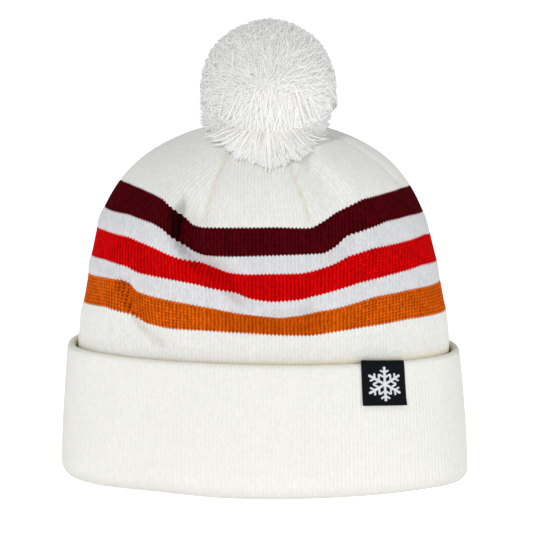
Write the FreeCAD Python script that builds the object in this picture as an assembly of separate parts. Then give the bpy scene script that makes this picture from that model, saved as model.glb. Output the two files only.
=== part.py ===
"""A cuffed, self-lined knit beanie with a pom-pom, standing on its rim.

Frame: millimetres, +Z up, +X to the wearer's left, the hat's front towards -Y.
The origin is the middle of the rim, on the surface that the hat stands on.
Every layer of knit is an elliptical shell. Offsets are measured inwards from the body's outer face.
"""

import FreeCAD
import Part

import math
import os

from FreeCAD import Vector

# ---- Driving dimensions ------------------------------------------------------------------------

# Body: an elliptical tube that becomes a dome. Half widths are along X and half depths along Y.
TUBE_HALF_WIDTH = 106.8
TUBE_HALF_DEPTH = 52.0
DOME_START = 82.0
CROWN_TOP = 208.0
WIDTH_TAPER = 0.22
WIDTH_POWER = 5.1
DEPTH_SWELL = 0.25
DEPTH_POWER = 3.2

# Layers of knit, each as thick as its fabric, with a small gap between neighbours.
KNIT = 1.8
LAYER_GAP = 0.2
BODY_FOOT = 3.0

# Cuff: two layers turned up round the body, folded over at the top and the rim.
CUFF_HEIGHT = 76.5
CUFF_TOP_HALF_WIDTH = 111.6
CUFF_TOP_HALF_DEPTH = 56.8
CUFF_FLARE = 3.9
CUFF_EDGE_ROUND = 5.0
CUFF_TOP_ROUND = 1.6
FACE_KNIT = 2.0

# Stripes: the height of each colour change at the middle of the front and at the hat's sides.
COLOUR_CHANGES = {
    "maroon_top": (154.5, 172.5),
    "maroon_foot": (141.0, 156.5),
    "red_top": (128.0, 145.0),
    "red_foot": (114.0, 129.0),
    "orange_top": (104.0, 118.0),
    "orange_foot": (93.0, 101.5),
}

# Crown: where its six dart seams leave the dome, as turns round the ellipse from the front, in degrees.
SEAM_TURNS = {
    "front_left": -21.5,
    "front_right": 17.5,
    "right": 70.0,
    "back_right": 140.0,
    "back_left": 196.0,
    "left": 262.0,
}
SEAM_WIDTH = 1.2
SEAM_PROUD = 0.6
SEAM_START = 8.6
CLOSING_HOLE = 5.0
CLOSING_YARN = 0.9
CLOSING_RING = 3.9

# Pom-pom, tied to the crown's closing hole.
POM_RADIUS = 39.5
POM_CENTRE = 226.5
POM_PIVOT = 209.7
POM_SEAT = 211.3
POM_SEAT_SLOPE = 0.08
POM_BORE = 4.6
BINDING_RADIUS = 4.2
BINDING_LENGTH = 14.0
TIE_RING = 2.9
TIE_YARN = 0.7
ANCHOR_YARN = 0.9
ANCHOR_HEAD = 1.6
ANCHOR_KNOT = 3.8

# Woven labels: a folded square on the cuff's front, and a care label inside.
LABEL_SIDE = 25.0
LABEL_MIDDLE = 67.3
LABEL_CLOTH = 0.6
LABEL_TUCK = 3.4
STITCH_RADIUS = 0.3
STITCH_LENGTH = 2.2
STITCH_PITCH = 5.0
CARE_WIDTH = 28.0
CARE_LENGTH = 44.0
CARE_CLOTH = 0.4
CARE_TOP = 112.0
CARE_SEAM = 6.0

# Heights and offsets that follow from the sizes above.
LINING_OUTER = KNIT + LAYER_GAP
LINING_INNER = LINING_OUTER + KNIT
LINING_RING_HEIGHT = CROWN_TOP - LINING_OUTER - KNIT / 2 - LAYER_GAP
FAR = 200.0


# ---- Elliptical shells --------------------------------------------------------------------------


def ellipse_wire(half_width, half_depth, height):
    ellipse = Part.Ellipse(Vector(0, 0, height), half_width, half_depth)
    return Part.Wire([ellipse.toShape()])


def through(sections):
    """A smooth solid through (half width, half depth, height) ellipses, from the lowest to the highest."""
    return Part.makeLoft([ellipse_wire(*s) for s in sections], True, False)


def dome_section(offset, share):
    """The body's ellipse at a share of the dome's height, moved inwards by offset."""
    rise = CROWN_TOP - offset - DOME_START
    width = (TUBE_HALF_WIDTH - offset) * (1 - WIDTH_TAPER * share) * math.sqrt(1 - share**WIDTH_POWER)
    depth = (TUBE_HALF_DEPTH - offset) * (1 + DEPTH_SWELL * share) * math.sqrt(1 - share**DEPTH_POWER)
    return width, depth, DOME_START + rise * share


def body_solid(offset, foot):
    """Everything inside the body's face moved inwards by offset: a straight tube from foot, and the dome."""
    end = ellipse_wire(TUBE_HALF_WIDTH - offset, TUBE_HALF_DEPTH - offset, foot)
    tube = Part.Face(end).extrude(Vector(0, 0, DOME_START - foot))
    narrowing = [math.sin(math.radians(a)) for a in (0, 6, 15, 25, 36, 47, 57, 66, 73.5, 79.5, 84, 87.2)]
    return tube.fuse(through([dome_section(offset, share) for share in narrowing]))


def upright_cylinder(radius, low, high, x=0.0, y=0.0):
    return Part.makeCylinder(radius, high - low, Vector(x, y, low))


def body_shell(outer, inner, foot):
    """One layer of the body between two offsets, open at the rim and at the closing hole."""
    shell = body_solid(outer, foot).cut(body_solid(inner, foot))
    return shell.cut(upright_cylinder(CLOSING_HOLE, CROWN_TOP - 25, CROWN_TOP + 25))


# ---- Stripes --------------------------------------------------------------------------------------


def change_height(name, x):
    """The height of a colour change at x: lowest at the middle, and risen at the sides."""
    middle, side = COLOUR_CHANGES[name]
    share = (middle - DOME_START) / (CROWN_TOP - DOME_START)
    half_width = dome_section(0, share)[0]
    return middle + (side - middle) * (x / half_width) ** 2


def change_arc(name):
    edge = TUBE_HALF_WIDTH + 10
    return Part.Arc(*[Vector(x, -FAR, change_height(name, x)) for x in (-edge, 0, edge)]).toShape()


def band_between(lower, upper):
    """All space between two colour changes; None stands for below or above everything."""
    edge = TUBE_HALF_WIDTH + 10
    floor = Part.makeLine(Vector(-edge, -FAR, -FAR), Vector(edge, -FAR, -FAR))
    ceiling = Part.makeLine(Vector(-edge, -FAR, 2 * FAR), Vector(edge, -FAR, 2 * FAR))
    low = change_arc(lower) if lower else floor
    high = change_arc(upper) if upper else ceiling
    left = Part.makeLine(low.Vertexes[0].Point, high.Vertexes[0].Point)
    right = Part.makeLine(low.Vertexes[-1].Point, high.Vertexes[-1].Point)
    face = Part.Face(Part.Wire([low, right, high, left]))
    return face.extrude(Vector(0, 2 * FAR, 0))


def knit_bands():
    shell = body_shell(0, KNIT, BODY_FOOT)
    ends = {
        "crown_knit": ("maroon_top", None),
        "maroon_stripe": ("maroon_foot", "maroon_top"),
        "upper_white_band": ("red_top", "maroon_foot"),
        "red_stripe": ("red_foot", "red_top"),
        "lower_white_band": ("orange_top", "red_foot"),
        "orange_stripe": ("orange_foot", "orange_top"),
        "body_base_knit": (None, "orange_foot"),
    }
    return {name: shell.common(band_between(*pair)) for name, pair in ends.items()}


# ---- Crown seams and closing yarn ---------------------------------------------------------------


def seam_strips(outer, inner, name_start):
    """Six narrow strips between two offsets of the crown, one along each dart seam."""
    layer = body_shell(outer, inner, BODY_FOOT)
    crown = layer.common(band_between("maroon_top", None))
    middle, side = COLOUR_CHANGES["maroon_top"]
    width, depth, _ = dome_section(0, ((middle + side) / 2 - DOME_START) / (CROWN_TOP - DOME_START))
    strips = {}
    for name, turn in SEAM_TURNS.items():
        x = width * math.sin(math.radians(turn))
        y = -depth * math.cos(math.radians(turn))
        slab = Part.makeBox(FAR, SEAM_WIDTH, FAR, Vector(SEAM_START, -SEAM_WIDTH / 2, DOME_START))
        slab.rotate(Vector(0, 0, 0), Vector(0, 0, 1), math.degrees(math.atan2(y, x)))
        strips[name_start + name] = crown.common(slab)
    return strips


def closing_yarn(height):
    """The gathering yarn that closes one layer of the crown: a ring drawn tight inside the closing hole."""
    return Part.makeTorus(CLOSING_RING, CLOSING_YARN, Vector(0, 0, height))


# ---- Cuff -----------------------------------------------------------------------------------------


def cuff_sections(inset, low, high):
    """The cuff's ellipses moved inwards by inset: flared down to the rim."""
    heights = [low + (high - low) * k / 6 for k in range(7)]
    return [
        (
            CUFF_TOP_HALF_WIDTH - inset + CUFF_FLARE * math.sin((1 - h / CUFF_HEIGHT) * math.pi / 2),
            CUFF_TOP_HALF_DEPTH - inset + CUFF_FLARE * math.sin((1 - h / CUFF_HEIGHT) * math.pi / 2),
            h,
        )
        for h in heights
    ]


def cuff_solid(inset, low, high):
    return through(cuff_sections(inset, low, high))


def rounded_cuff_solid():
    """The cuff's outside, with its rim and its top fold rounded."""
    rim_part = []
    for share in (0, 0.2, 0.4, 0.6, 0.8):
        turn = share * math.pi / 2
        inset = CUFF_EDGE_ROUND * (1 - math.sin(turn))
        rim_part += cuff_sections(inset, CUFF_EDGE_ROUND * (1 - math.cos(turn)), CUFF_HEIGHT)[:1]
    fold_part = []
    for share in (0.3, 0.65, 1):
        turn = share * math.pi / 2
        inset = CUFF_TOP_ROUND * (1 - math.cos(turn))
        height = CUFF_HEIGHT - CUFF_TOP_ROUND * (1 - math.sin(turn))
        fold_part += cuff_sections(inset, height, CUFF_HEIGHT)[:1]
    middle = cuff_sections(0, CUFF_EDGE_ROUND * 1.3, CUFF_HEIGHT - CUFF_TOP_ROUND * 1.4)
    return through(rim_part + middle + fold_part)


def cuff_layers():
    back_inset = FACE_KNIT + LAYER_GAP
    bore_inset = back_inset + KNIT
    hollow = cuff_solid(FACE_KNIT, FACE_KNIT, CUFF_HEIGHT - FACE_KNIT)
    mouth = through([
        (TUBE_HALF_WIDTH - LINING_INNER, TUBE_HALF_DEPTH - LINING_INNER, -1),
        (TUBE_HALF_WIDTH - LINING_INNER, TUBE_HALF_DEPTH - LINING_INNER, FACE_KNIT + 1),
    ])
    throat = cuff_solid(bore_inset, CUFF_HEIGHT - 2 * FACE_KNIT, CUFF_HEIGHT + 1)
    face = rounded_cuff_solid().cut(hollow).cut(mouth).cut(throat)
    low = FACE_KNIT + LAYER_GAP
    high = CUFF_HEIGHT - FACE_KNIT - LAYER_GAP
    back = cuff_solid(back_inset, low, high).cut(cuff_solid(bore_inset, low, high))
    return {"cuff_face_knit": face, "cuff_back_knit": back}


# ---- Labels ---------------------------------------------------------------------------------------


def label_column(width, low, high, x=LABEL_MIDDLE):
    """An upright box at the label's place on the cuff's front, square to the cuff's face there."""
    share = x / CUFF_TOP_HALF_WIDTH
    y = -CUFF_TOP_HALF_DEPTH * math.sqrt(1 - share**2)
    slope = CUFF_TOP_HALF_DEPTH / CUFF_TOP_HALF_WIDTH * share / math.sqrt(1 - share**2)
    box = Part.makeBox(width, 30, high - low, Vector(-width / 2, -15, low))
    box.rotate(Vector(0, 0, 0), Vector(0, 0, 1), math.degrees(math.atan(slope)))
    box.translate(Vector(x, y, 0))
    return box


def front_label():
    """A woven square folded over the cuff's top edge."""
    gap = LAYER_GAP / 2
    top = CUFF_HEIGHT + gap + LABEL_CLOTH
    outside = cuff_solid(-gap - LABEL_CLOTH, CUFF_HEIGHT - LABEL_SIDE, top)
    inside = cuff_solid(-gap, CUFF_HEIGHT - LABEL_SIDE, CUFF_HEIGHT + gap)
    beyond = cuff_solid(LABEL_TUCK, CUFF_HEIGHT - LABEL_SIDE, top)
    return outside.cut(inside).cut(beyond).common(label_column(LABEL_SIDE, 0, CUFF_HEIGHT + 5))


def label_stitches():
    """Short stitches down both edges of the front label, lying on its face."""
    stitches = []
    count = int((LABEL_SIDE - 3) / STITCH_PITCH)
    for side in (-1, 1):
        x = LABEL_MIDDLE + side * (LABEL_SIDE / 2 - 1.5) * 0.93
        for k in range(count):
            low = CUFF_HEIGHT - LABEL_SIDE + 2.5 + k * STITCH_PITCH
            flare = CUFF_FLARE * math.sin((1 - low / CUFF_HEIGHT) * math.pi / 2)
            proud = LABEL_CLOTH + LAYER_GAP / 2 + STITCH_RADIUS + 0.1
            half_width = CUFF_TOP_HALF_WIDTH + flare + proud
            half_depth = CUFF_TOP_HALF_DEPTH + flare + proud
            y = -half_depth * math.sqrt(1 - (x / half_width) ** 2)
            stitches.append(upright_cylinder(STITCH_RADIUS, low, low + STITCH_LENGTH, x, y))
    return Part.makeCompound(stitches)


def lining_face(y, height, offset):
    """How far along X the lining's inner face is at a depth y and height, inside by offset."""
    share = max(0.0, (height - DOME_START) / (CROWN_TOP - offset - DOME_START))
    width, depth, _ = dome_section(offset, share)
    return width * math.sqrt(1 - (y / depth) ** 2)


def care_label():
    """A blank satin tag that hangs inside, sewn by its top to the lining at the wearer's right."""
    offset = LINING_INNER + LAYER_GAP
    sewn = -lining_face(CARE_WIDTH / 2, CARE_TOP, offset)
    corner = Vector(sewn, -CARE_WIDTH / 2, CARE_TOP - CARE_LENGTH)
    tag = Part.makeBox(CARE_CLOTH, CARE_WIDTH, CARE_LENGTH, corner)
    stitches = []
    count = int(CARE_WIDTH / STITCH_PITCH)
    for k in range(count):
        y = -CARE_WIDTH / 2 + CARE_WIDTH * (k + 0.5) / count
        x = sewn + CARE_CLOTH + STITCH_RADIUS
        start = Vector(x, y - STITCH_LENGTH / 2, CARE_TOP - CARE_SEAM)
        stitches.append(Part.makeCylinder(STITCH_RADIUS, STITCH_LENGTH, start, Vector(0, 1, 0)))
    return {"care_label": tag, "care_label_stitches": Part.makeCompound(stitches)}


# ---- Pom-pom --------------------------------------------------------------------------------------


def pom_ball():
    """The trimmed yarn ball, seated on the crown by a shallow cone and bored for its binding."""
    ball = Part.makeSphere(POM_RADIUS, Vector(0, 0, POM_CENTRE))
    reach = POM_RADIUS + 5
    seat = Part.makeCone(0, reach, reach * POM_SEAT_SLOPE, Vector(0, 0, POM_SEAT))
    above = upright_cylinder(reach, POM_SEAT + reach * POM_SEAT_SLOPE, POM_CENTRE + reach)
    bore_top = POM_CENTRE + BINDING_LENGTH / 2 + LAYER_GAP
    return ball.common(seat.fuse(above)).cut(upright_cylinder(POM_BORE, POM_SEAT - 5, bore_top))


def pom_parts():
    """The binding round the yarn's middle, and the tie ring that the ball flops on."""
    low = POM_CENTRE - BINDING_LENGTH / 2
    barrel = upright_cylinder(BINDING_RADIUS, low, low + BINDING_LENGTH)
    tails_low = POM_PIVOT + TIE_YARN + 3.0
    tails = [upright_cylinder(TIE_YARN, tails_low, low, side * TIE_RING, 0) for side in (-1, 1)]
    binding = barrel.fuse(tails)
    ring = Part.makeTorus(TIE_RING, TIE_YARN, Vector(0, 0, POM_PIVOT))
    return {"pom_yarn_ball": pom_ball(), "pom_binding_yarn": binding, "pom_tie_loop": ring}


def anchor_parts():
    """The yarn that holds the pom-pom: a headed strand through the crown, knotted inside."""
    reach = ANCHOR_KNOT + CLOSING_YARN + LAYER_GAP
    knot_middle = LINING_RING_HEIGHT - math.sqrt(reach**2 - CLOSING_RING**2)
    strand = upright_cylinder(ANCHOR_YARN, knot_middle + ANCHOR_KNOT, POM_PIVOT)
    head = Part.makeSphere(ANCHOR_HEAD, Vector(0, 0, POM_PIVOT))
    knot = Part.makeSphere(ANCHOR_KNOT, Vector(0, 0, knot_middle))
    strand = strand.fuse(head).cut(knot)
    return {"anchor_yarn": strand, "anchor_knot": knot}


# ---- The whole hat --------------------------------------------------------------------------------


def beanie():
    outside = -LAYER_GAP / 2
    inside = LINING_INNER + LAYER_GAP / 2
    nodes = knit_bands()
    nodes["lining_knit"] = body_shell(LINING_OUTER, LINING_INNER, BODY_FOOT)
    nodes |= seam_strips(outside - SEAM_PROUD, outside, "crown_seam_")
    nodes |= seam_strips(inside, inside + SEAM_PROUD, "lining_seam_")
    nodes["crown_closing_yarn"] = closing_yarn(CROWN_TOP - KNIT / 2)
    nodes["lining_closing_yarn"] = closing_yarn(LINING_RING_HEIGHT)
    nodes |= cuff_layers()
    nodes["front_label"] = front_label()
    nodes["front_label_stitches"] = label_stitches()
    nodes |= care_label()
    nodes |= pom_parts()
    nodes |= anchor_parts()
    return nodes


def main():
    os.makedirs("parts", exist_ok=True)
    for name, shape in beanie().items():
        solids = shape.Solids
        volume = sum(s.Volume for s in solids)
        state = "ok" if shape.isValid() and all(s.Volume > 0 for s in solids) else "BAD"
        print(f"{name:24s} {len(solids)} solids {volume:10.1f} mm3 {state}")
        Part.makeCompound(solids).exportStep(f"parts/{name}.step")


main()
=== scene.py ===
"""Looks of the cuffed knit beanie with a pom-pom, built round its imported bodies.

Lengths in this script are millimetres in the shared frame, and make_mesh turns them into metres.
A turn is an angle round the hat, from the middle of the front towards the wearer's left.
Way is the distance up the hat's side from the floor, along the knit.
"""

import math

import bmesh
import bpy
import numpy as np
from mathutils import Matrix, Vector


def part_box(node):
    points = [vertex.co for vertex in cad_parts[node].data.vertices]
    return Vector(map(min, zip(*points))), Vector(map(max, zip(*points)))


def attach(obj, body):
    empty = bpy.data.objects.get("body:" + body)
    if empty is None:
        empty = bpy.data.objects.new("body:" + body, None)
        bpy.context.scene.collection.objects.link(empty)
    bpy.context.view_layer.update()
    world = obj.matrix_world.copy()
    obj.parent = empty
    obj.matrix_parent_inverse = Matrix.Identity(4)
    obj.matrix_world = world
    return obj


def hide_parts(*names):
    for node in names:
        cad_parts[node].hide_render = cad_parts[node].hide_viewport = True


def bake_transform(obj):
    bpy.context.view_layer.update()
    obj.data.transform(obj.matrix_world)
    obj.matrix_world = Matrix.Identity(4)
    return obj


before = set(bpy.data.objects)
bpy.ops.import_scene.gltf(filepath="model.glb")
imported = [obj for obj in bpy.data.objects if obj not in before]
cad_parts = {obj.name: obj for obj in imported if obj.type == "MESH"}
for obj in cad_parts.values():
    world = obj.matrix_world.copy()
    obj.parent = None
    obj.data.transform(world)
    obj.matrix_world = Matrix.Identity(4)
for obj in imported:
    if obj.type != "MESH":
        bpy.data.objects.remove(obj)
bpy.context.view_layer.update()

MM = 0.001

# ---- Sizes of the hat ----

TUBE_HALF_WIDTH = 106.8
TUBE_HALF_DEPTH = 52.0
DOME_START = 82.0
CROWN_TOP = 208.0
WIDTH_TAPER = 0.22
WIDTH_POWER = 5.1
DEPTH_SWELL = 0.25
DEPTH_POWER = 3.2
BODY_FOOT = 3.0
LINING_INNER = 3.8
CLOSING_HOLE = 5.0
HAT_MIDDLE = 120.0
CLOSING_RING = 3.9
CLOSING_YARN = 0.9

CUFF_HEIGHT = 76.5
CUFF_TOP_HALF_WIDTH = 111.6
CUFF_TOP_HALF_DEPTH = 56.8
CUFF_FLARE = 3.9

POM_CENTRE = 226.5
POM_PIVOT = 209.7
POM_SEAT = 211.3
POM_SEAT_SLOPE = 0.08
BINDING_RADIUS = 4.2
TIE_RING = 2.9

LABEL_SIDE = 25.0
LABEL_MIDDLE = 67.3

# ---- The knit ----

WALES = 240
COURSE = 1.5
# How far the legs of a stitch slant, and how far its ridge stands over the grooves and dips between courses.
ZIGZAG = 0.55
RIDGE = 0.15
WALE_GROOVE = -0.08
LEG_GROOVE = 0.02
COURSE_DIP = 0.20

# (turn, height) pairs of each colour change, from the back, round the front, to the back.
COLOUR_CHANGES = {
    "orange_foot": [
        (-180, 95), (-120, 99), (-80, 103.5), (-60, 104.8), (-47, 102.5), (-41, 97.3), (-32, 95.9),
        (-19, 95.7), (7, 93.2), (15, 92.9), (23, 94.8), (32, 96.5), (52, 99), (85, 98.6), (130, 96),
        (180, 95),
    ],
    "orange_top": [
        (-180, 106), (-120, 114), (-88, 119.8), (-62, 121.5), (-54, 121.2), (-50.5, 119.8), (-47, 115.8),
        (-33, 112.5), (-20, 109.7), (-8, 106.1), (5, 103.2), (15, 105.3), (28, 109.8), (38, 113.6),
        (55, 115.6), (86, 115.9), (130, 110), (180, 106),
    ],
    "red_foot": [
        (-180, 117), (-120, 124), (-90, 130), (-67, 131), (-52, 129.2), (-46, 126.4), (-34, 124.5),
        (-21.5, 122.5), (-13, 118.9), (-5, 114.4), (3, 113.2), (12, 114.2), (19, 116.5), (33, 122.2),
        (47, 125.4), (65, 128), (86, 127.2), (130, 121), (180, 117),
    ],
    "red_top": [
        (-180, 132), (-120, 140), (-90, 145.9), (-74, 146.9), (-54, 145.8), (-41, 141.7), (-30, 137),
        (-21, 133.4), (-12, 128.7), (12, 128.8), (16, 129.8), (25, 133.9), (30, 137.6), (40, 141.2),
        (53, 142.5), (75, 144.4), (130, 137), (180, 132),
    ],
    "maroon_foot": [
        (-180, 144), (-120, 152), (-90, 157.5), (-58, 157.8), (-43, 154.6), (-37, 151.8), (-31, 145.5),
        (-26, 140.4), (-21, 138), (4, 139.1), (21, 139.6), (26, 143.2), (31, 149), (37, 151.3), (49, 155),
        (66, 156.2), (86, 155.3), (130, 149), (180, 144),
    ],
    "maroon_top": [
        (-180, 158), (-120, 167), (-84, 173.4), (-70, 173.7), (-58, 172.5), (-48, 170.3), (-41, 167.8),
        (-34, 162.3), (-27, 155.5), (-22, 154.1), (4, 154.8), (17, 153.9), (22, 157.5), (28, 162.2),
        (34, 165.1), (40, 167.8), (56, 170.1), (70, 171.2), (85, 170.5), (130, 164), (180, 158),
    ],
}

# The crown's six dart seams, by the turns where they meet the maroon stripe and the closing hole.
DART_SEAMS = {
    "front_left": (-21.5, -18.0),
    "front_right": (17.5, 6.0),
    "right": (73.0, 56.0),
    "back_right": (140.0, 140.0),
    "back_left": (196.0, 196.0),
    "left": (262.0, 262.0),
}

# Soft folds of the front and the back of the body: a path of (x, height) points, how far the fold stands out,
# and its reach to the left and the right, looking along the path.
FOLDS = {
    "front": [
        ([(-41, 176), (-43.5, 167), (-46.5, 157), (-47, 149), (-43, 140), (-34, 132), (-24, 125), (-13, 114),
          (-4, 104)], -6.0, 9, 2.6),
        ([(-53, 178), (-53, 165), (-54, 150), (-51, 140), (-43, 130), (-31, 121), (-22, 110)], 2.8, 4, 8),
        ([(-30, 164), (-32, 150), (-27, 140), (-15, 132), (-2, 120)], 1.8, 12, 7),
        ([(-80, 127), (-79, 119), (-75, 106), (-69, 97), (-59, 88), (-50, 80)], -3.8, 7, 2.2),
        ([(-88, 128), (-87, 115), (-82, 98)], 1.2, 8, 7),
        ([(20, 196), (30, 184), (44, 168), (48, 156), (46, 143), (36, 131)], -3.6, 4, 9),
        ([(34, 198), (46, 182), (60, 166), (62, 150), (58, 134)], 2.2, 9, 14),
        ([(-36, 101), (-10, 98), (20, 98), (44, 102)], -4.0, 8, 3.5),
        ([(-30, 113), (0, 110), (30, 112)], 2.2, 10, 12),
        ([(-66, 92), (-58, 86), (-50, 81)], -1.2, 5, 3),
        ([(-18, 92), (-16, 84), (-17, 79)], -1.2, 4, 2.5),
    ],
    "back": [
        ([(-60, 172), (-44, 150), (-36, 126), (-40, 100)], -3.4, 11, 5),
        ([(30, 176), (44, 152), (52, 128), (48, 104)], -3.0, 5, 11),
        ([(-20, 104), (10, 100), (36, 103)], -2.2, 9, 6),
        ([(-6, 160), (4, 136), (2, 116)], 1.8, 16, 16),
    ],
}


# ---- Mesh helpers ----


def new_object(name, data):
    item = bpy.data.objects.new(name, data)
    bpy.context.scene.collection.objects.link(item)
    return item


def make_mesh(name, points, faces, uv, material, layer="Knit", tints=None):
    """A mesh piece from millimetre points, groups of faces, and the texture places of each group's corners.

    The tints are named values, one per point, that the material reads.
    """
    corners = np.concatenate([group.reshape(-1) for group in faces]).astype(np.int32)
    totals = np.concatenate([np.full(len(group), group.shape[1]) for group in faces])
    starts = running(totals[:-1]).astype(np.int32)
    mesh = bpy.data.meshes.new(name)
    mesh.vertices.add(len(points))
    mesh.vertices.foreach_set("co", (np.asarray(points, float) * MM).reshape(-1))
    mesh.loops.add(len(corners))
    mesh.loops.foreach_set("vertex_index", corners)
    mesh.polygons.add(len(starts))
    mesh.polygons.foreach_set("loop_start", starts)
    mesh.polygons.foreach_set("use_smooth", np.ones(len(starts), bool))
    if uv:
        uv_map = mesh.uv_layers.new(name=layer)
        uv_map.data.foreach_set("uv", np.concatenate([group.reshape(-1) for group in uv]))
    for tint, values in (tints or {}).items():
        attribute = mesh.attributes.new(tint, "FLOAT", "POINT")
        attribute.data.foreach_set("value", np.asarray(values, np.float32).reshape(-1))
    mesh.update(calc_edges=True)
    mesh.validate()
    mesh.materials.append(material)
    return new_object(name, mesh)


def grid_faces(rows, columns, wrap, inwards=False):
    """Corner indices of a grid's faces, and the row and column of each corner."""
    across = columns if wrap else columns - 1
    r, c = np.meshgrid(np.arange(rows - 1), np.arange(across), indexing="ij")
    corner_rows = np.stack([r, r, r + 1, r + 1], -1).reshape(-1, 4)
    corner_columns = np.stack([c, c + 1, c + 1, c], -1).reshape(-1, 4)
    if inwards:
        corner_rows, corner_columns = corner_rows[:, ::-1], corner_columns[:, ::-1]
    return corner_rows * columns + corner_columns % columns, corner_rows, corner_columns


def finish_piece(piece, body, slot, *nodes):
    """Gives a piece its body and hides the nodes that it stands for; the paint slot is not used."""
    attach(piece, body)
    if nodes:
        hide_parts(*nodes)


def weld(piece, gap):
    """Joins points that lie within the gap and removes points that no face uses."""
    work = bmesh.new()
    work.from_mesh(piece.data)
    loose = [v for v in work.verts if not v.link_faces]
    bmesh.ops.delete(work, geom=loose, context="VERTS")
    bmesh.ops.remove_doubles(work, verts=work.verts, dist=gap * MM)
    work.to_mesh(piece.data)
    work.free()


def running(steps):
    """The running total of the steps, from 0."""
    return np.concatenate([[0], np.cumsum(steps)])


def unit(vectors):
    return vectors / np.maximum(np.linalg.norm(vectors, axis=-1, keepdims=True), 1e-9)


def smooth_fall(distance, width):
    """1 at no distance, and near 0 from twice the width on."""
    return np.exp(-((distance / width) ** 2))


def clamp(value):
    return np.clip(value, 0, 1)


def eased(value):
    """A value from 0 to 1 that leaves and arrives gently."""
    value = clamp(value)
    return value * value * (3 - 2 * value)


def arch(share):
    """0 at both ends of the way, and 1 in the middle."""
    return np.sin(share * math.pi)


# A direction that few yarns follow. The sides of a yarn are measured from it.
YARN_GUIDE = 0.31, 0.87, 0.38


def ring_point(turn, half_width, half_depth, height):
    """Points at a turn round an upright tube of this half width and half depth."""
    x, y = half_width * np.sin(turn), -half_depth * np.cos(turn)
    return np.stack(np.broadcast_arrays(x, y, height), -1)


def beside(paths, guide):
    """Two directions square to the paths, at each of their points."""
    tangent = unit(np.gradient(paths, axis=-2))
    side = unit(np.cross(tangent, guide))
    return side, np.cross(tangent, side)


def tubes(name, paths, radii, material, sides, tones, guide=YARN_GUIDE):
    """Closed tubes along paths of equally many points, as one piece. Each tube has a tone from 0 to 1."""
    count, length = paths.shape[:2]
    side, up = beside(paths, guide)
    turn = np.arange(sides) * 2 * math.pi / sides
    ring = np.cos(turn)[:, None] * side[:, :, None, :] + np.sin(turn)[:, None] * up[:, :, None, :]
    points = paths[:, :, None, :] + np.broadcast_to(radii, (count, length))[:, :, None, None] * ring
    quads, rows, _ = grid_faces(length, sides, True)
    base = (np.arange(count) * length * sides)[:, None, None]
    fan = np.array([(0, k, k + 1) for k in range(1, sides - 1)])
    caps = np.concatenate([fan[:, ::-1], fan + (length - 1) * sides])
    tones = np.asarray(tones)[:, None, None]
    ends = np.repeat([[0.0], [1.0]], len(fan), axis=0) + np.zeros(3)
    uv = [np.stack(np.broadcast_arrays(tones, along), -1) for along in (rows / (length - 1), ends)]
    faces = [(quads + base).reshape(-1, 4), (caps + base).reshape(-1, 3)]
    return make_mesh(name, points.reshape(-1, 3), faces, uv, material, "Strand")


# ---- The body's surface ----


def profile_table():
    """The body's half width, half depth and height, by way."""
    steps, foot = 3000, -50
    share = np.sin(np.linspace(0, math.pi / 2, steps))
    width = TUBE_HALF_WIDTH * (1 - WIDTH_TAPER * share) * np.sqrt(1 - share**WIDTH_POWER)
    depth = TUBE_HALF_DEPTH * (1 + DEPTH_SWELL * share) * np.sqrt(1 - share**DEPTH_POWER)
    height = DOME_START + (CROWN_TOP - DOME_START) * share
    rise, narrow, thin = np.diff(height), np.diff(width), np.diff(depth)
    way = DOME_START + running((np.hypot(rise, narrow) + np.hypot(rise, thin)) / 2)
    return [np.concatenate([[first], rest]) for first, rest in (
        (foot, way), (TUBE_HALF_WIDTH, width), (TUBE_HALF_DEPTH, depth), (foot, height))]


WAY, WIDTH_AT, DEPTH_AT, HEIGHT_AT = profile_table()
WAY_TO_HOLE = float(np.interp(CLOSING_HOLE, (WIDTH_AT * DEPTH_AT)[::-1] ** 0.5, WAY[::-1]))


def profile(way):
    """The body's half width, half depth and height at a way."""
    return np.array([np.interp(way, WAY, table) for table in (WIDTH_AT, DEPTH_AT, HEIGHT_AT)])


def to_hole(start, share):
    """The way at a share of the distance from a start to the closing hole."""
    return start + (WAY_TO_HOLE - start) * share


def ring_turns(count, half_width=TUBE_HALF_WIDTH, half_depth=TUBE_HALF_DEPTH):
    """Turns, in radians, of points spaced evenly round an ellipse, starting at the back."""
    turn = np.linspace(-math.pi, math.pi, 7201)
    step = np.hypot(half_width * np.cos(turn), half_depth * np.sin(turn))
    way = running((step[1:] + step[:-1]) / 2)
    return np.interp(np.arange(count) / count * way[-1], way, turn)


def path_distance(x, z, path):
    """Signed distance to a path in the plane of x and z, and how far along it the nearest point is."""
    best = np.full(x.shape, 1e9)
    signed = np.zeros(x.shape)
    along = np.zeros(x.shape)
    lengths = [math.dist(a, b) for a, b in zip(path, path[1:])]
    total, walked = sum(lengths), 0.0
    for (a, b), length in zip(zip(path, path[1:]), lengths):
        dx, dz = (b[0] - a[0]) / length, (b[1] - a[1]) / length
        t = np.clip((x - a[0]) * dx + (z - a[1]) * dz, 0, length)
        ox, oz = x - a[0] - t * dx, z - a[1] - t * dz
        distance = np.hypot(ox, oz)
        nearer = distance < best
        best = np.where(nearer, distance, best)
        signed = np.where(nearer, np.where(ox * dz - oz * dx < 0, -distance, distance), signed)
        along = np.where(nearer, (walked + t) / total, along)
        walked += length
    return signed, along


def fold_offset(turn, width, height):
    """How far the folds move the body's face outwards."""
    x, height = np.broadcast_arrays(width * np.sin(turn), height)
    total = np.zeros(x.shape)
    for side, folds in FOLDS.items():
        facing = clamp(np.cos(turn) * (4 if side == "front" else -4))
        for path, amount, left, right in folds:
            across, along = path_distance(x, height, path)
            ends = eased(np.minimum(along, 1 - along) * 5)
            shape = np.where(across < 0, smooth_fall(across, left), smooth_fall(across, right))
            total += amount * ends * shape * facing
    return total * clamp((height - DOME_START + 4) / 12)


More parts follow.
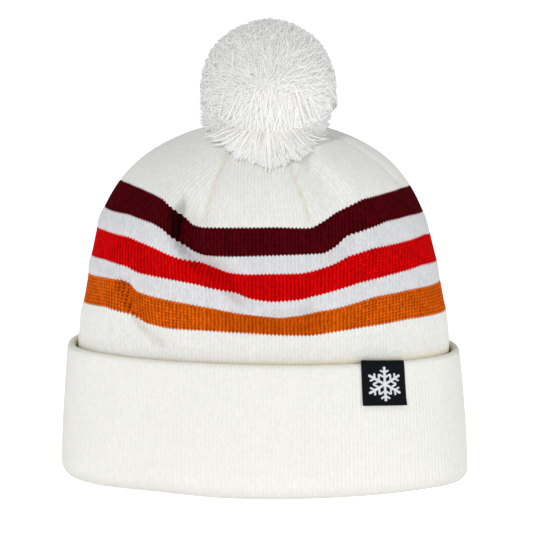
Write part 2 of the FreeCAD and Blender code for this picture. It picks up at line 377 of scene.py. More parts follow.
def side_swell(turn, height):
    """The two side edges stand out a little, and more where the white bands puff up between the stripes."""
    sine = np.sin(turn)
    left, right = clamp(-sine) ** 8, clamp(sine) ** 8
    puffs = sum(size * smooth_fall(height - middle, 5) for middle, size in ((151, 1), (125, 1), (97, 0.8)))
    above = clamp((height - DOME_START) / 10) * clamp((205 - height) / 20)
    upper = smooth_fall(height - 152, 24)
    return above * (left * (0.5 + 1.3 * upper + 0.9 * puffs) + right * (0.8 + 0.4 * puffs))


def fold_shade(turn, way):
    """Painted shade on fold walls that turn right or down, away from the light, and how far they turn."""
    turn, way = np.broadcast_arrays(turn, way)
    width, _, height = profile(way)
    step = 1.0
    here = fold_offset(turn, width, height)
    across = fold_offset(turn + step / np.maximum(width, 30), width, height) - here
    upwards = fold_offset(turn, width, height + step) - here
    above_base = clamp((height - 96) / 12)
    return above_base * clamp(upwards * 0.8 - across * np.sign(np.cos(turn)) * 0.8 - 0.08)


def body_point(turn, way, out):
    """Points of the body's folded face moved outwards by out, at turns in radians and ways up its side."""
    turn, way = np.broadcast_arrays(turn, way)
    width, depth, height = profile(way)
    step = 0.4
    narrow, thin, rise = profile(way + step) - profile(way - step)
    drop = width * thin * np.cos(turn) ** 2 + depth * narrow * np.sin(turn) ** 2
    normal = unit(ring_point(turn, depth * rise, width * rise, -drop))
    out = out + fold_offset(turn, width, height) + side_swell(turn, height)
    return ring_point(turn, width, depth, height) + normal * out[..., None]


def wale_turn(turn, way):
    """The turn at a way of the wale that starts at this turn: it runs straight up, drawn in at the sides."""
    narrower = TUBE_HALF_WIDTH / np.interp(way, WAY, WIDTH_AT)
    power = np.minimum(6.0, 0.7 / np.maximum(narrower - 1, 1e-6))
    sine = np.sin(turn)
    moved = sine * (narrower - (narrower - 1) * np.abs(sine) ** power)
    straight = np.arcsin(np.clip(moved, -1, 1))
    return np.where(np.abs(turn) <= math.pi / 2, straight, np.sign(turn) * math.pi - straight)


def change_way(name, turn):
    """The way of a colour change at each turn, smoothed along its outline."""
    outline = COLOUR_CHANGES[name]
    spacing, blur, reach = 0.25, 1.3, 12
    fine = np.linspace(-180, 180, round(360 / spacing) + 1)
    line = np.interp(fine, *zip(*outline))
    kernel = smooth_fall(np.arange(-reach, reach + 1) * spacing, blur)
    ringed = np.concatenate([line[-reach - 1:-1], line, line[1:reach + 1]])
    line = np.convolve(ringed, kernel / kernel.sum(), "valid")
    degrees = (np.degrees(turn) + 180) % 360 - 180
    return np.interp(np.interp(degrees, fine, line), HEIGHT_AT, WAY)


# ---- Stitches ----


def stitch_relief(column, row, per_wale=4, per_course=2):
    """Outward relief and upward shift of the stitches. Each wale is a column of Vs between two grooves."""
    phase = np.mod(column, per_wale) * 4 / per_wale
    on_leg = 1 - np.abs(np.mod(phase, 2) - 1)
    if per_wale == 2:
        on_leg = phase / 2
    groove = np.where(phase < 1.5, WALE_GROOVE, LEG_GROOVE)
    out = groove + on_leg * (RIDGE - groove)
    if per_course == 2:
        between = (np.mod(row, 2) == 0).astype(float)
        out = out - between * (COURSE_DIP * on_leg + 0.04)
    shift = ZIGZAG * (1 - np.abs(phase - 2))
    return out, shift + 0 * row


def knit_mesh(name, points, material, per_wale=4, per_course=2, inwards=False, tints=None):
    """A ring of knit from its grid of points, with the wale and course of every corner."""
    quads, rows, columns = grid_faces(*points.shape[:2], True, inwards)
    uv = np.stack([columns / per_wale, rows / per_course], -1)
    return make_mesh(name, points.reshape(-1, 3), [quads], [uv], material, tints=tints)


# ---- Shader values ----


def plug(socket, value):
    """Links a shader value to a socket, or sets the socket to a plain number, vector or colour."""
    if isinstance(value, Value):
        socket.id_data.links.new(value.socket, socket)
    elif value is not None:
        socket.default_value = value


def add(tree, kind, *inputs, output=0, **settings):
    """An output of a new shader node, whose inputs are given in the node's own order."""
    node = tree.nodes.new("ShaderNode" + kind)
    for key, value in settings.items():
        setattr(node, key, value)
    for socket, value in zip(node.inputs, inputs):
        plug(socket, value)
    return Value(node.outputs[output])


class Value:
    """A shader value that is worked with like a number, with a node for each step."""

    def __init__(self, socket):
        self.socket = socket
        self.tree = socket.id_data

    def maths(self, operation, *others):
        return add(self.tree, "Math", self, *others, operation=operation)

    def __add__(self, other):
        return self.maths("ADD", other)

    def __mul__(self, other):
        return self.maths("MULTIPLY", other)

    def __pow__(self, other):
        return self.maths("POWER", other)

    def vector(self, operation, *others):
        return add(self.tree, "VectorMath", self, *others, operation=operation)

    def from_edge(self):
        """0 in the middle of each unit of the value, and 1 at its ends."""
        return (self.maths("FRACT") * 2.0 + -1.0).maths("ABSOLUTE")

    def spread(self, low, high, to_low, to_high):
        """The value from between low and high, moved to between to_low and to_high."""
        return add(self.tree, "MapRange", self, low, high, to_low, to_high)

    def split(self):
        """The x, y and z of a vector."""
        return [Value(part) for part in add(self.tree, "SeparateXYZ", self).socket.node.outputs]

    def mix(self, first, second):
        """The first colour where the value is 0, and the second where it is 1."""
        return mixed(self.tree, self, first, second, "MIX")

    def brighten(self, *shares):
        """The colour multiplied by each of the shares."""
        lit = shares[0]
        for share in shares[1:]:
            lit = lit * share
        return mixed(self.tree, 1.0, self, add(self.tree, "CombineColor", lit, lit, lit), "MULTIPLY")


def mixed(tree, share, first, second, blend):
    unused = [None] * 5
    return add(tree, "Mix", share, *unused, first, second, output=2, data_type="RGBA", blend_type=blend)


def noise(tree, place, scale, detail=2.0, rough=0.55):
    return add(tree, "TexNoise", place, None, scale, detail, rough)


# ---- Materials ----


def new_material(name):
    material = bpy.data.materials.new(name)
    material.use_nodes = True
    tree = material.node_tree
    return material, tree, tree.nodes["Principled BSDF"]


def set_inputs(shader, values):
    for name, value in values.items():
        plug(shader.inputs[name], value)


def bumped(tree, height, strength, distance):
    """The surface's normal where a fine height is laid on it."""
    normal = add(tree, "Bump", strength, distance)
    plug(normal.socket.node.inputs["Height"], height)
    return normal


def colour(levels):
    """A shader colour from the 0-255 display levels of its red, green and blue."""
    shares = [level / 255 for level in levels]
    linear = [share / 12.92 if share <= 0.04045 else ((share + 0.055) / 1.055) ** 2.4 for share in shares]
    return *linear, 1.0


def knit_material(name, yarn, gap_shade, depth, uneven, crease=None, fold=0.62):
    """Acrylic jersey: legs of yarn with grooves between the wales, loose fibres and slightly uneven dye.

    Depth is how dark the painted shade is in the grooves, the stitch holes and the gaps between courses,
    uneven how much the dye varies, crease the tone of the warm painted shade where the knit turns out of
    sight, and fold the brightness left by the painted shade in the walls of a fold.
    """
    material, tree, shader = new_material(name)
    yarn, gap_shade = colour(yarn), colour(gap_shade)
    knit = add(tree, "UVMap", uv_map="Knit")
    wale, course, _ = knit.split()
    groove = wale.from_edge() ** 4.0
    centre = (wale * 2.0).from_edge() ** 2.0
    gap = course.from_edge() ** 1.6
    hole = wale.from_edge() ** 1.5 * gap
    # Loose fibres are streaks drawn out along the yarn.
    fibres = noise(tree, add(tree, "Mapping", knit, None, None, (9.0, 1.7, 1.0)), 1.0, 3.0, 0.6)
    stitch = add(tree, "CombineXYZ", (wale * 2.0).maths("FLOOR"), course.maths("FLOOR"))
    speckle = add(tree, "TexWhiteNoise", stitch, noise_dimensions="3D")
    place = add(tree, "TexCoord", output="Object")
    cloudy = noise(tree, place, 55.0, 3.0)
    fuzz = noise(tree, place, 900.0, 2.0, 0.6)
    # Painted shade: a darker tone in the grooves, the holes between stitches and the gaps between courses.
    tone = (groove * (depth * 0.25)).mix(yarn, gap_shade)
    tone = (hole * (depth * 1.5)).mix(tone, gap_shade)
    tone = (gap * (depth * 0.25)).mix(tone, gap_shade)
    tone = tone.brighten(
        fibres.spread(0.3, 0.75, 1 - 0.08 * uneven, 1 + 0.07 * uneven),
        speckle.spread(0.0, 1.0, 1 - 0.1 * uneven, 1 + 0.1 * uneven),
        cloudy.spread(0.3, 0.7, 1 - 0.025 * uneven, 1 + 0.025 * uneven))
    if crease:
        # Painted warm shade where the knit turns into a crease or a seam groove.
        tone = add(tree, "Attribute", output="Fac", attribute_name="painted_crease_shade").mix(tone, colour(crease))
    # Painted shade on the walls of folds, and at the cuff's rim and side edges.
    shade = add(tree, "Attribute", output="Fac", attribute_name="shade")
    relief = (groove + (centre + gap) * 0.4) * -0.5 + fibres * 0.5 + fuzz * 0.22
    set_inputs(shader, {
        "Base Color": tone.brighten(shade.spread(0.0, 1.0, 1.0, fold)),
        "Roughness": fibres.spread(0.2, 0.8, 0.98, 0.8),
        "Normal": bumped(tree, relief, 0.5, 0.0003),
        "Specular IOR Level": 0.03,
    })
    return material


def strand_material(name, yarn, root, centre=None):
    """Yarn: fibres along each strand, a slightly different tone per strand, and creamier roots.

    With a centre it is a ball of yarn, which shades as a whole more than strand by strand, and glows a little
    with its own tone: painted light that stands in for the light scattered from strand to strand.
    """
    material, tree, shader = new_material(name)
    number, along, _ = add(tree, "UVMap", uv_map="Strand").split()
    place = add(tree, "TexCoord", output="Object")
    streaks = noise(tree, add(tree, "CombineXYZ", number * 900.0, along * 5.0), 1.0)
    dye = add(tree, "TexWhiteNoise", None, number, noise_dimensions="1D")
    tone = along.spread(0.0, 0.62, 1.0, 0.0).mix(colour(yarn), colour(root))
    tone = tone.brighten(dye.spread(0.0, 1.0, 0.955, 1.03), streaks.spread(0.3, 0.7, 0.96, 1.03))
    set_inputs(shader, {
        "Base Color": tone,
        "Roughness": streaks.spread(0.2, 0.8, 0.95, 0.75),
        "Sheen Weight": 0.1,
        "Specular IOR Level": 0.05,
    })
    if centre:
        outwards = place.vector("SUBTRACT", centre).vector("NORMALIZE")
        outwards = add(tree, "VectorTransform", outwards, vector_type="NORMAL", convert_from="OBJECT",
                       convert_to="WORLD").vector("MULTIPLY", (0.9, 0.9, 0.9))
        normal = add(tree, "NewGeometry", output="Normal").vector("ADD", outwards).vector("NORMALIZE")
        # Painted light: the ball's yarn glows a little with its own tone, for the light scattered among its
        # strands.
        set_inputs(shader, {"Emission Color": tone, "Emission Strength": 0.45, "Sheen Weight": 0.5})
    else:
        normal = bumped(tree, streaks + noise(tree, place, 1400.0, 2.0, 0.6) * 0.6, 0.4, 0.0002)
    plug(shader.inputs["Normal"], normal)
    return material


def woven_material(name, yarn, gap_shade, warp_scale, weft_scale, sheen, gloss):
    """A tight ribbon weave: fine warp and weft threads that cross each other."""
    material, tree, shader = new_material(name)
    across, along, _ = add(tree, "UVMap", uv_map="Knit").split()
    warp, weft = (across * warp_scale).from_edge(), (along * weft_scale).from_edge()
    place = add(tree, "TexCoord", output="Object")
    fuzz = noise(tree, place, 1500.0, 2.0, 0.6)
    cloudy = noise(tree, place, 140.0)
    height = (warp * -1.0 + 1.0).maths("MAXIMUM", weft * -1.0 + 1.0)
    # Painted shade: the threads take a darker tone where they dip under the crossing threads.
    tone = height.spread(0.2, 0.9, 0.8, 0.0).mix(colour(yarn), colour(gap_shade))
    set_inputs(shader, {
        "Base Color": tone.brighten(cloudy.spread(0.3, 0.7, 0.93, 1.07), fuzz.spread(0.3, 0.7, 0.92, 1.08)),
        "Roughness": fuzz.spread(0.2, 0.8, gloss, gloss - 0.15),
        "Normal": bumped(tree, height + fuzz * 0.4, 0.5, 0.0001),
        "Sheen Weight": sheen,
        "Specular IOR Level": 0.12,
    })
    return material


# The warm tone of painted shade in creases and along the seam grooves.
PAINTED_SHADE_CREAM = 238, 226, 190
CROWN_WHITE = knit_material(
    "knit_white_body", (231, 231, 227), (210, 209, 203), depth=0.4, uneven=0.5, crease=PAINTED_SHADE_CREAM)
BAND_WHITE = knit_material(
    "knit_white_bands", (216, 216, 218), (188, 188, 190), depth=0.4, uneven=0.8)
CUFF_WHITE = knit_material(
    "knit_white_cuff", (235, 235, 230), (224, 223, 216), depth=0.4, uneven=0.3, crease=PAINTED_SHADE_CREAM)
LINING_WHITE = knit_material(
    "knit_white_lining", (240, 239, 233), (208, 205, 193), depth=0.6, uneven=0.6)
MAROON = knit_material("knit_maroon", (82, 3, 12), (8, 0, 1), depth=0.95, uneven=3.6, fold=0.3)
RED = knit_material("knit_red", (217, 2, 5), (92, 0, 1), depth=0.95, uneven=2.2, fold=0.32)
ORANGE = knit_material("knit_orange", (219, 94, 6), (88, 20, 0), depth=0.95, uneven=2.4, fold=0.42)
SEAM_CREAM = strand_material("yarn_seam", (238, 236, 225), (230, 227, 212))
# Given the ball's centre, the pom's strands and its core glow a little: painted light.
BALL_CENTRE = 0.0, 0.0, 0.222
POM_WHITE = strand_material("yarn_pom", (212, 212, 211), (213, 208, 194), BALL_CENTRE)
CORE_CREAM = strand_material("yarn_pom_core", (222, 220, 210), (218, 214, 200), BALL_CENTRE)
TIE_WHITE = strand_material("yarn_tie", (238, 236, 228), (216, 210, 190))
LABEL_BLACK = woven_material(
    "label_black", (9, 15, 21), (2, 4, 6), warp_scale=2.0, weft_scale=1.0, sheen=0.0, gloss=0.9)
LABEL_WHITE = strand_material("label_white_thread", (240, 241, 246), (226, 228, 236))
LABEL_THREAD = strand_material("label_black_thread", (20, 26, 30), (10, 14, 16))
CARE_SATIN = woven_material(
    "care_satin", (240, 240, 238), (214, 214, 212), warp_scale=3.0, weft_scale=2.0, sheen=0.1, gloss=0.5)
CARE_THREAD = strand_material("care_thread", (236, 236, 234), (210, 210, 208))


# ---- Bands of the body ----


def ring_grid(courses, per_wale=4, per_course=2):
    """The columns and rows of a ring of knit, and each row's share of the way up."""
    column = np.arange(WALES * per_wale)[None, :]
    row = np.arange(per_course * courses + 1)[:, None]
    return column, row, row / row[-1]


def wale_end(end, turn):
    """The way at which each wale, named by its turn at the tube, meets a colour change or a plain height."""
    if not isinstance(end, str):
        return float(end)
    way = change_way(end, turn)
    for _ in range(8):
        way = change_way(end, wale_turn(turn, way))
    return way


def band(name, material, low, high, courses):
    """A ring of knit between two ways up the side, each a number or the name of a colour change."""
    column, row, share = ring_grid(courses)
    turn = ring_turns(column.size)
    ends = [wale_end(end, turn) for end in (low, high)]
    out, shift = stitch_relief(column, row)
    way = ends[0] + (ends[1] - ends[0]) * share + shift
    points = body_point(wale_turn(turn, way - shift), way, out)
    # Painted warm shade in the crease where the knit comes out from behind the cuff,
    # and painted shade on the walls of the folds.
    tints = {"painted_crease_shade": 0.7 * smooth_fall(way - 77.0, 1.0), "shade": fold_shade(wale_turn(turn, way), way)}
    piece = knit_mesh("knit_" + name, points, material, tints=tints)
    finish_piece(piece, "hat_body", name, name)


def bands():
    band("body_base_knit", CROWN_WHITE, BODY_FOOT + 1, "orange_foot", 62)
    band("orange_stripe", ORANGE, "orange_foot", "orange_top", 9)
    band("lower_white_band", BAND_WHITE, "orange_top", "red_foot", 7)
    band("red_stripe", RED, "red_foot", "red_top", 10)
    band("upper_white_band", BAND_WHITE, "red_top", "maroon_foot", 9)
    band("maroon_stripe", MAROON, "maroon_foot", "maroon_top", 10)


# ---- Crown ----


def crown_narrowing(share):
    """The crown's girth at a share of the way from the maroon stripe to the closing hole, 1 at the stripe."""
    start = float(np.interp(160.0, HEIGHT_AT, WAY))
    girth = np.interp(to_hole(start, share), WAY, WIDTH_AT + DEPTH_AT)
    return girth / girth[0]


def seam_columns(wrapped, per_wale):
    """The column of each dart seam at the maroon stripe, on a groove between wales."""
    columns = []
    for low, _ in DART_SEAMS.values():
        turn = (math.radians(low) - wrapped[0]) % (2 * math.pi) + wrapped[0]
        columns.append(per_wale * round(float(np.interp(turn, wrapped, np.arange(wrapped.size))) / per_wale))
    return columns


def panel(wrapped, first, last, lean, share):
    """One crown panel between two seams: its points, the point that each corner takes, and its tints."""
    columns = np.arange(first, last + 1)[None, :]
    middle, half = (first + last) / 2, (last - first) / 2
    reach = half * crown_narrowing(share)
    held = np.abs(columns - middle) >= reach - 1e-9
    clamped = np.clip(columns - middle, -reach, reach)
    place = clamped / reach / 2 + 0.5
    column = np.mod(first + (last - first) * place, wrapped.size - 1)
    base = np.interp(column, np.arange(wrapped.size), wrapped)
    turn = base + share * (lean[0] + (lean[1] - lean[0]) * place)
    rows = np.arange(share.size)[:, None]
    out, shift = stitch_relief(np.where(held, 0, columns), rows)
    from_seam = (reach - np.abs(clamped)) * COURSE / 3
    pull = 1.3 * smooth_fall(from_seam, 2.2) + 0.5 * smooth_fall(from_seam, 7.0)
    out = out * clamp((1 - share) * 8 + 0.2) - pull * clamp(share * 14)
    shift = np.where(held & (share > 0), 0.0, shift)
    way = np.minimum(to_hole(change_way("maroon_top", base), share) + shift, WAY_TO_HOLE + 0.5)
    # Every corner past a seam is the seam's own point on that row.
    left = (held & (columns < middle)).sum(1, keepdims=True) - 1
    right = columns.size - (held & (columns > middle)).sum(1, keepdims=True)
    inside = np.clip(columns - first, np.maximum(left, 0), np.minimum(right, columns.size - 1))
    keys = rows * columns.size + inside
    # Painted warm shade along the seam grooves.
    painted_crease_shade = 0.3 * smooth_fall(from_seam, 0.7) * clamp(share * 14)
    return body_point(turn, way, out), keys, {"painted_crease_shade": painted_crease_shade, "shade": fold_shade(turn, way)}


def crown():
    """Six panels of knit between the dart seams. Wales run up the middle of each and stop at its seams."""
    per_wale, courses = 4, 58
    even = ring_turns(WALES * per_wale)
    even = wale_turn(even, wale_end("maroon_top", even))
    wrapped = np.append(even, even[0] + 2 * math.pi)
    share = np.linspace(0, 1, 2 * courses + 1)[:, None]
    starts = seam_columns(wrapped, per_wale)
    leans = [math.radians(high - low) for low, high in DART_SEAMS.values()]
    points, tints, faces, uv = [], [], [], []
    count = 0
    for index, first in enumerate(starts):
        after = (index + 1) % len(starts)
        last = starts[after] if starts[after] > first else starts[after] + even.size
        panel_points, keys, panel_tints = panel(wrapped, first, last, (leans[index], leans[after]), share)
        quads, rows, columns = grid_faces(*keys.shape, False)
        quads = keys.reshape(-1)[quads]
        places = np.stack([(columns + first) / per_wale, rows / 2], -1)
        joined = quads == np.roll(quads, -1, axis=1)
        # A face whose corners are joined on one side, by a seam, is a triangle.
        for side in range(-1, 4):
            chosen = (joined == (np.arange(4) == side)).all(-1)
            kept = [corner for corner in range(4) if corner != side]
            faces.append(quads[chosen][:, kept] + count)
            uv.append(places[chosen][:, kept])
        points.append(panel_points.reshape(-1, 3))
        tints.append(panel_tints)
        count += keys.size
    tints = {name: np.concatenate([tint[name].reshape(-1) for tint in tints]) for name in tints[0]}
    piece = make_mesh("knit_crown", np.concatenate(points), faces, uv, CROWN_WHITE, tints=tints)
    weld(piece, 0.02)
    finish_piece(piece, "hat_body", "crown_knit", "crown_knit")


def seam(layer, name, out, pitch, radius):
    """A dart seam from the maroon stripe to the closing hole: slanting stitches, each lapping the next."""
    low, high = DART_SEAMS[name]
    share = np.linspace(0.004, 0.995, 120)
    way = to_hole(change_way("maroon_top", np.radians(low)), share)
    line = body_point(np.radians(low + (high - low) * share), way, out)
    way = running(np.linalg.norm(np.diff(line, axis=0), axis=1))
    count = int(way[-1] / pitch)
    start = np.arange(count) * pitch
    share = np.linspace(0, 1, 6)
    at = start[:, None] + share * pitch * 1.7
    paths = np.stack([np.interp(np.minimum(at, way[-1]), way, line[:, k]) for k in range(3)], -1)
    outwards = unit(paths - np.array([0, 0, HAT_MIDDLE]))
    across = np.cross(unit(np.gradient(paths, axis=1)), outwards)
    bow = arch(share)
    paths = paths + across * (share - 0.5)[:, None] + outwards * (0.35 * bow)[:, None]
    piece = tubes("seam_%s_%s" % (layer, name), paths, radius * (0.55 + 0.45 * bow), SEAM_CREAM, 6,
                  np.linspace(0.1, 0.9, count))
    finish_piece(piece, "hat_body", layer + "_seam", "%s_seam_%s" % (layer, name))


def seams():
    """The dart seams of the crown and, under them, those of the lining."""
    for name in DART_SEAMS:
        seam("crown", name, out=-1.75, pitch=1.5, radius=0.36)
        seam("lining", name, out=-LINING_INNER - 0.5, pitch=2.0, radius=0.4)


# ---- Lining ----


def lining():
    """The tube's inner half, its stitches facing in, from the rim to its own closing hole."""
    courses = 185
    column, row, share = ring_grid(courses, 2, 1)
    out, shift = stitch_relief(column, row, 2, 1)
    way = to_hole(BODY_FOOT, share) + shift * clamp((1 - share) * 8)
    points = body_point(ring_turns(column.size), way, -LINING_INNER - out * 0.8)
    piece = knit_mesh("knit_lining", points, LINING_WHITE, 2, 1, True)
    finish_piece(piece, "hat_body", "lining_knit", "lining_knit")


# ---- Cuff ----


def cuff_point(turn, inset, height):
    """Points of the cuff at an inset from its outer face, with its soft unevenness."""
    turn, height = np.broadcast_arrays(turn, height)
    share = clamp(height / CUFF_HEIGHT)
    flare = CUFF_FLARE * np.sin((1 - share) * math.pi / 2)
    sine = np.sin(turn)
    wave = 0.5 * np.sin(3 * turn + 0.7) + 0.35 * np.sin(7 * turn + 2.0 + share * 2)
    wave += 0.25 * np.sin(11 * turn - share * 3)
    width = CUFF_TOP_HALF_WIDTH + flare
    depth = CUFF_TOP_HALF_DEPTH + flare
    normal = unit(ring_point(turn, depth, width, 0))
    points = ring_point(turn, width, depth, height)
    # The two pressed side folds draw in towards the rim, and stand out above it.
    side_fold = 1.5 * np.abs(sine) ** 9 * clamp(1 - height / 9) ** 2
    swell = wave * arch(share) ** 0.5 - side_fold
    swell = swell + clamp(-sine) ** 8 * 1.3 + clamp(sine) ** 8 * (1.0 + 1.9 * (1 - share))
    # The rim reaches out at both front corners.
    for corner, reach in ((-1.22, 1.2), (1.22, 2.6)):
        swell = swell + (1 - share) ** 2 * reach * smooth_fall(turn - corner, 0.24)
    points = points + normal * (swell - inset)[..., None]
    # The top edge falls towards the wearer's left and stands higher at the back.
    points[..., 2] += share * (0.5 - 1.7 * sine + 3.0 * eased((np.abs(turn) - 1.3) / 0.7))
    # The rim lifts at the side folds, and a little on the front, towards the wearer's right.
    side_lift = np.abs(sine) ** 5 * (0.9 - 0.7 * sine) + 1.3 * clamp(-sine) ** 2
    points[..., 2] += (1 - share) ** 3 * side_lift
    points[..., 2] += (1 - share) ** 4 * 1.8 * smooth_fall(turn + 0.6, 0.32)
    return points


FOLD_CENTRE = 2.3, 74.2
FOLD_RADIUS = 2.2


def cuff_face_outline():
    """(inset, height) points up the cuff's face, from inside the rim, round it, and over the top fold."""
    line = [(12.3, 1.9), (12.1, 0.9), (11.2, 0.25), (9.0, 0.12), (6.5, 0.12)]
    for turn in np.radians(np.linspace(8, 90, 9)):
        line.append((5.0 - 5.0 * math.sin(turn), 5.1 - 5.0 * math.cos(turn)))
    for height in np.linspace(8, 72, 17):
        line.append((0.0, height))
    for turn in np.radians(np.linspace(0, 180, 13)[1:]):
        line.append((FOLD_CENTRE[0] * (1 - math.cos(turn)), FOLD_CENTRE[1] + FOLD_RADIUS * math.sin(turn)))
    return np.array(line + [(4.5, 71.0), (4.4, 68.0)])


def cuff_back_outline():
    """(inset, height) points down the inner layer, from under the top fold to the rim."""
    return np.array([(4.0, 68.5)] + [(4.0, height) for height in np.linspace(66, 6, 16)] + [(4.6, 3.0)])


def cuff_sheet(name, outline, courses, per_wale, per_course, slot):
    """A layer of the cuff: a sheet of knit along an outline of (inset, height) points."""
    column, row, _ = ring_grid(courses, per_wale, per_course)
    turn = ring_turns(column.size, CUFF_TOP_HALF_WIDTH, CUFF_TOP_HALF_DEPTH)[None, :]
    walked = running(np.hypot(*np.diff(outline, axis=0).T))
    even = np.linspace(0, walked[-1], row.size)

    def at(way):
        return np.interp(way, walked, outline[:, 0]), np.interp(way, walked, outline[:, 1])

    # The turned-up knit shows its stitches upside down.
    out, shift = stitch_relief(column, row, per_wale, per_course)
    before, after = at(even - 0.6), at(even + 0.6)
    slope = unit(np.stack([after[1] - before[1], after[0] - before[0]], -1))
    inset, height = at(even[:, None] - shift)
    inset = inset - out * slope[:, :1]
    height = height + out * slope[:, 1:]
    # Painted warm shade over the last stretch of each layer, where it turns out of sight into a crease.
    folded_over = clamp((even[:, None] - walked[-1] + 9.8) / 2.0)
    # Painted shade where the rim turns under towards the floor, and along the two pressed side edges.
    under = 0.85 * smooth_fall(np.maximum(height, 0), 4.0) + 0.3 * np.abs(np.sin(turn)) ** 14
    tints = {"painted_crease_shade": np.broadcast_to(0.9 * folded_over, height.shape), "shade": clamp(under)}
    piece = knit_mesh(name, cuff_point(turn, inset, height), CUFF_WHITE, per_wale, per_course, tints=tints)
    finish_piece(piece, "cuff", slot, slot)


def cuff():
    cuff_sheet("knit_cuff_face", cuff_face_outline(), 64, 4, 2, "cuff_face_knit")
    cuff_sheet("knit_cuff_back", cuff_back_outline(), 44, 2, 1, "cuff_back_knit")


# ---- Front label ----

LABEL_RIB = 0.36
LABEL_TURN = math.asin(LABEL_MIDDLE / CUFF_TOP_HALF_WIDTH)
# The ribbon lies tilted, skewed and a little stretched on the curved cuff.
LABEL_TILT = -0.062
LABEL_SKEW = 0.36
LABEL_STRETCH = 1.06
LABEL_TUCKED = 6.5
LABEL_TOP = CUFF_HEIGHT + 1.1
MOTIF_ARM = 9.6


def label_point(across, down, out):
    """Points of the front label's face. Down is measured from its top fold, and negative behind it."""
    across, down, out = np.broadcast_arrays(across, down, out)
    radius = 2.75
    front = np.clip(down - radius, 0, None)
    bend = np.clip(1 - down / radius, 0, None)
    turn = np.clip(bend, 0, 2.2) * math.pi / 2
    inset = FOLD_CENTRE[0] - (radius + out) * np.cos(turn)
    height = LABEL_TOP - radius + (radius + out) * np.sin(turn) - front
    lift = 0.9 * clamp((down - LABEL_SIDE + 9) / 9) ** 2
    # The ribbon runs straight over the fold, though the fold itself curves away to the side.
    moved = across * LABEL_STRETCH + LABEL_SKEW * (inset + 0.45)
    step = math.hypot(CUFF_TOP_HALF_WIDTH * math.cos(LABEL_TURN), CUFF_TOP_HALF_DEPTH * math.sin(LABEL_TURN))
    points = cuff_point(LABEL_TURN + moved / step, inset - lift, height)
    points[..., 2] += LABEL_TILT * across
    return points


def ribbon(name, front, back, per_thread, material):
    """A piece of ribbon with thin edges, from the grids of points of its two faces."""
    quads, r, c = grid_faces(*front.shape[:2], False)
    keys = np.arange(front[..., 0].size).reshape(front.shape[:2])
    edge = np.concatenate([keys[0], keys[1:, -1], keys[-1, -2::-1], keys[-2:0:-1, 0]])
    after = np.roll(edge, -1)
    rim = np.stack([after, edge, edge + keys.size, after + keys.size], -1)
    uv = np.stack([c / per_thread, r / 2], -1)
    points = np.concatenate([front, back]).reshape(-1, 3)
    faces = [quads, quads[:, ::-1] + keys.size, rim]
    return make_mesh(name, points, faces, [uv, uv[:, ::-1], np.zeros((len(rim), 4, 2))], material)


def front_label():
    """A woven ribbon folded over the cuff's top edge, ribbed on its face and flat on its back."""
    thickness = 0.5
    ribs = round((LABEL_SIDE + LABEL_TUCKED) / LABEL_RIB)
    down = np.linspace(LABEL_SIDE, 2.75 - LABEL_TUCKED, 2 * ribs + 1)[:, None]
    across = np.linspace(-LABEL_SIDE / 2, LABEL_SIDE / 2, 51)[None, :]
    rib = 0.05 * (np.arange(down.size) % 2)[:, None]
    front, back = label_point(across, down, rib), label_point(across, down, -thickness)
    piece = ribbon("label_front", front, back, 4, LABEL_BLACK)
    finish_piece(piece, "cuff", "front_label", "front_label")


def in_snowflake(x, y):
    """Whether a point of the label's face is in its motif: six arms, each with two pairs of barbs."""
    arms = [((0, 0), (MOTIF_ARM, 0), 0.68)]
    for start, length in ((3.8, 3.4), (6.6, 2.4)):
        for side in (-1, 1):
            arms.append(((start, 0), (start + length * 0.5, side * length * 0.866), 0.5))
    for k in range(6):
        turn = math.radians(90 + 60 * k)
        along, across = x * math.cos(turn) + y * math.sin(turn), y * math.cos(turn) - x * math.sin(turn)
        for a, b, half in arms:
            dx, dy = b[0] - a[0], b[1] - a[1]
            share = min(max(((along - a[0]) * dx + (across - a[1]) * dy) / (dx * dx + dy * dy), 0), 1)
            if math.hypot(along - a[0] - share * dx, across - a[1] - share * dy) <= half:
                return True
    return False


def label_motif():
    """The motif's floats: white weft threads that run over the black ribs wherever the motif is."""
    middle, reach, step = LABEL_SIDE / 2 + 0.4, 9.75, 0.12
    places = np.arange(-MOTIF_ARM, MOTIF_ARM, step)
    share = np.linspace(0, 1, 8)
    rise = 0.08 + 0.1 * arch(share) ** 0.3
    paths = []
    for rib in range(int(2 * reach / LABEL_RIB)):
        down = middle - reach + rib * LABEL_RIB
        start = None
        for k, here in enumerate([in_snowflake(x, middle - down) for x in places] + [False]):
            if here and start is None:
                start = k
            if not here and start is not None:
                low, high = places[start] - step, places[k - 1] + step
                start = None
                paths.append(label_point(low + (high - low) * share, down, rise))
    tones = np.linspace(0.05, 0.95, len(paths))
    piece = tubes("label_motif", np.array(paths), LABEL_RIB * 0.47, LABEL_WHITE, 6, tones)
    finish_piece(piece, "cuff", "label_thread")


def label_stitches():
    """Black thread down both edges of the label."""
    share = np.linspace(0, 1, 6)
    down = 2.5 + 2.75 * np.arange(8)[:, None] + 1.9 * share
    rise = -0.1 + 0.32 * arch(share) ** 0.5
    edges = [label_point(side * (LABEL_SIDE / 2 - 1.1), down, rise) for side in (-1, 1)]
    piece = tubes("label_stitches", np.concatenate(edges), 0.17, LABEL_THREAD, 6, np.linspace(0, 1, 16))
    finish_piece(piece, "cuff", "label_thread", "front_label_stitches")


# ---- Care label ----


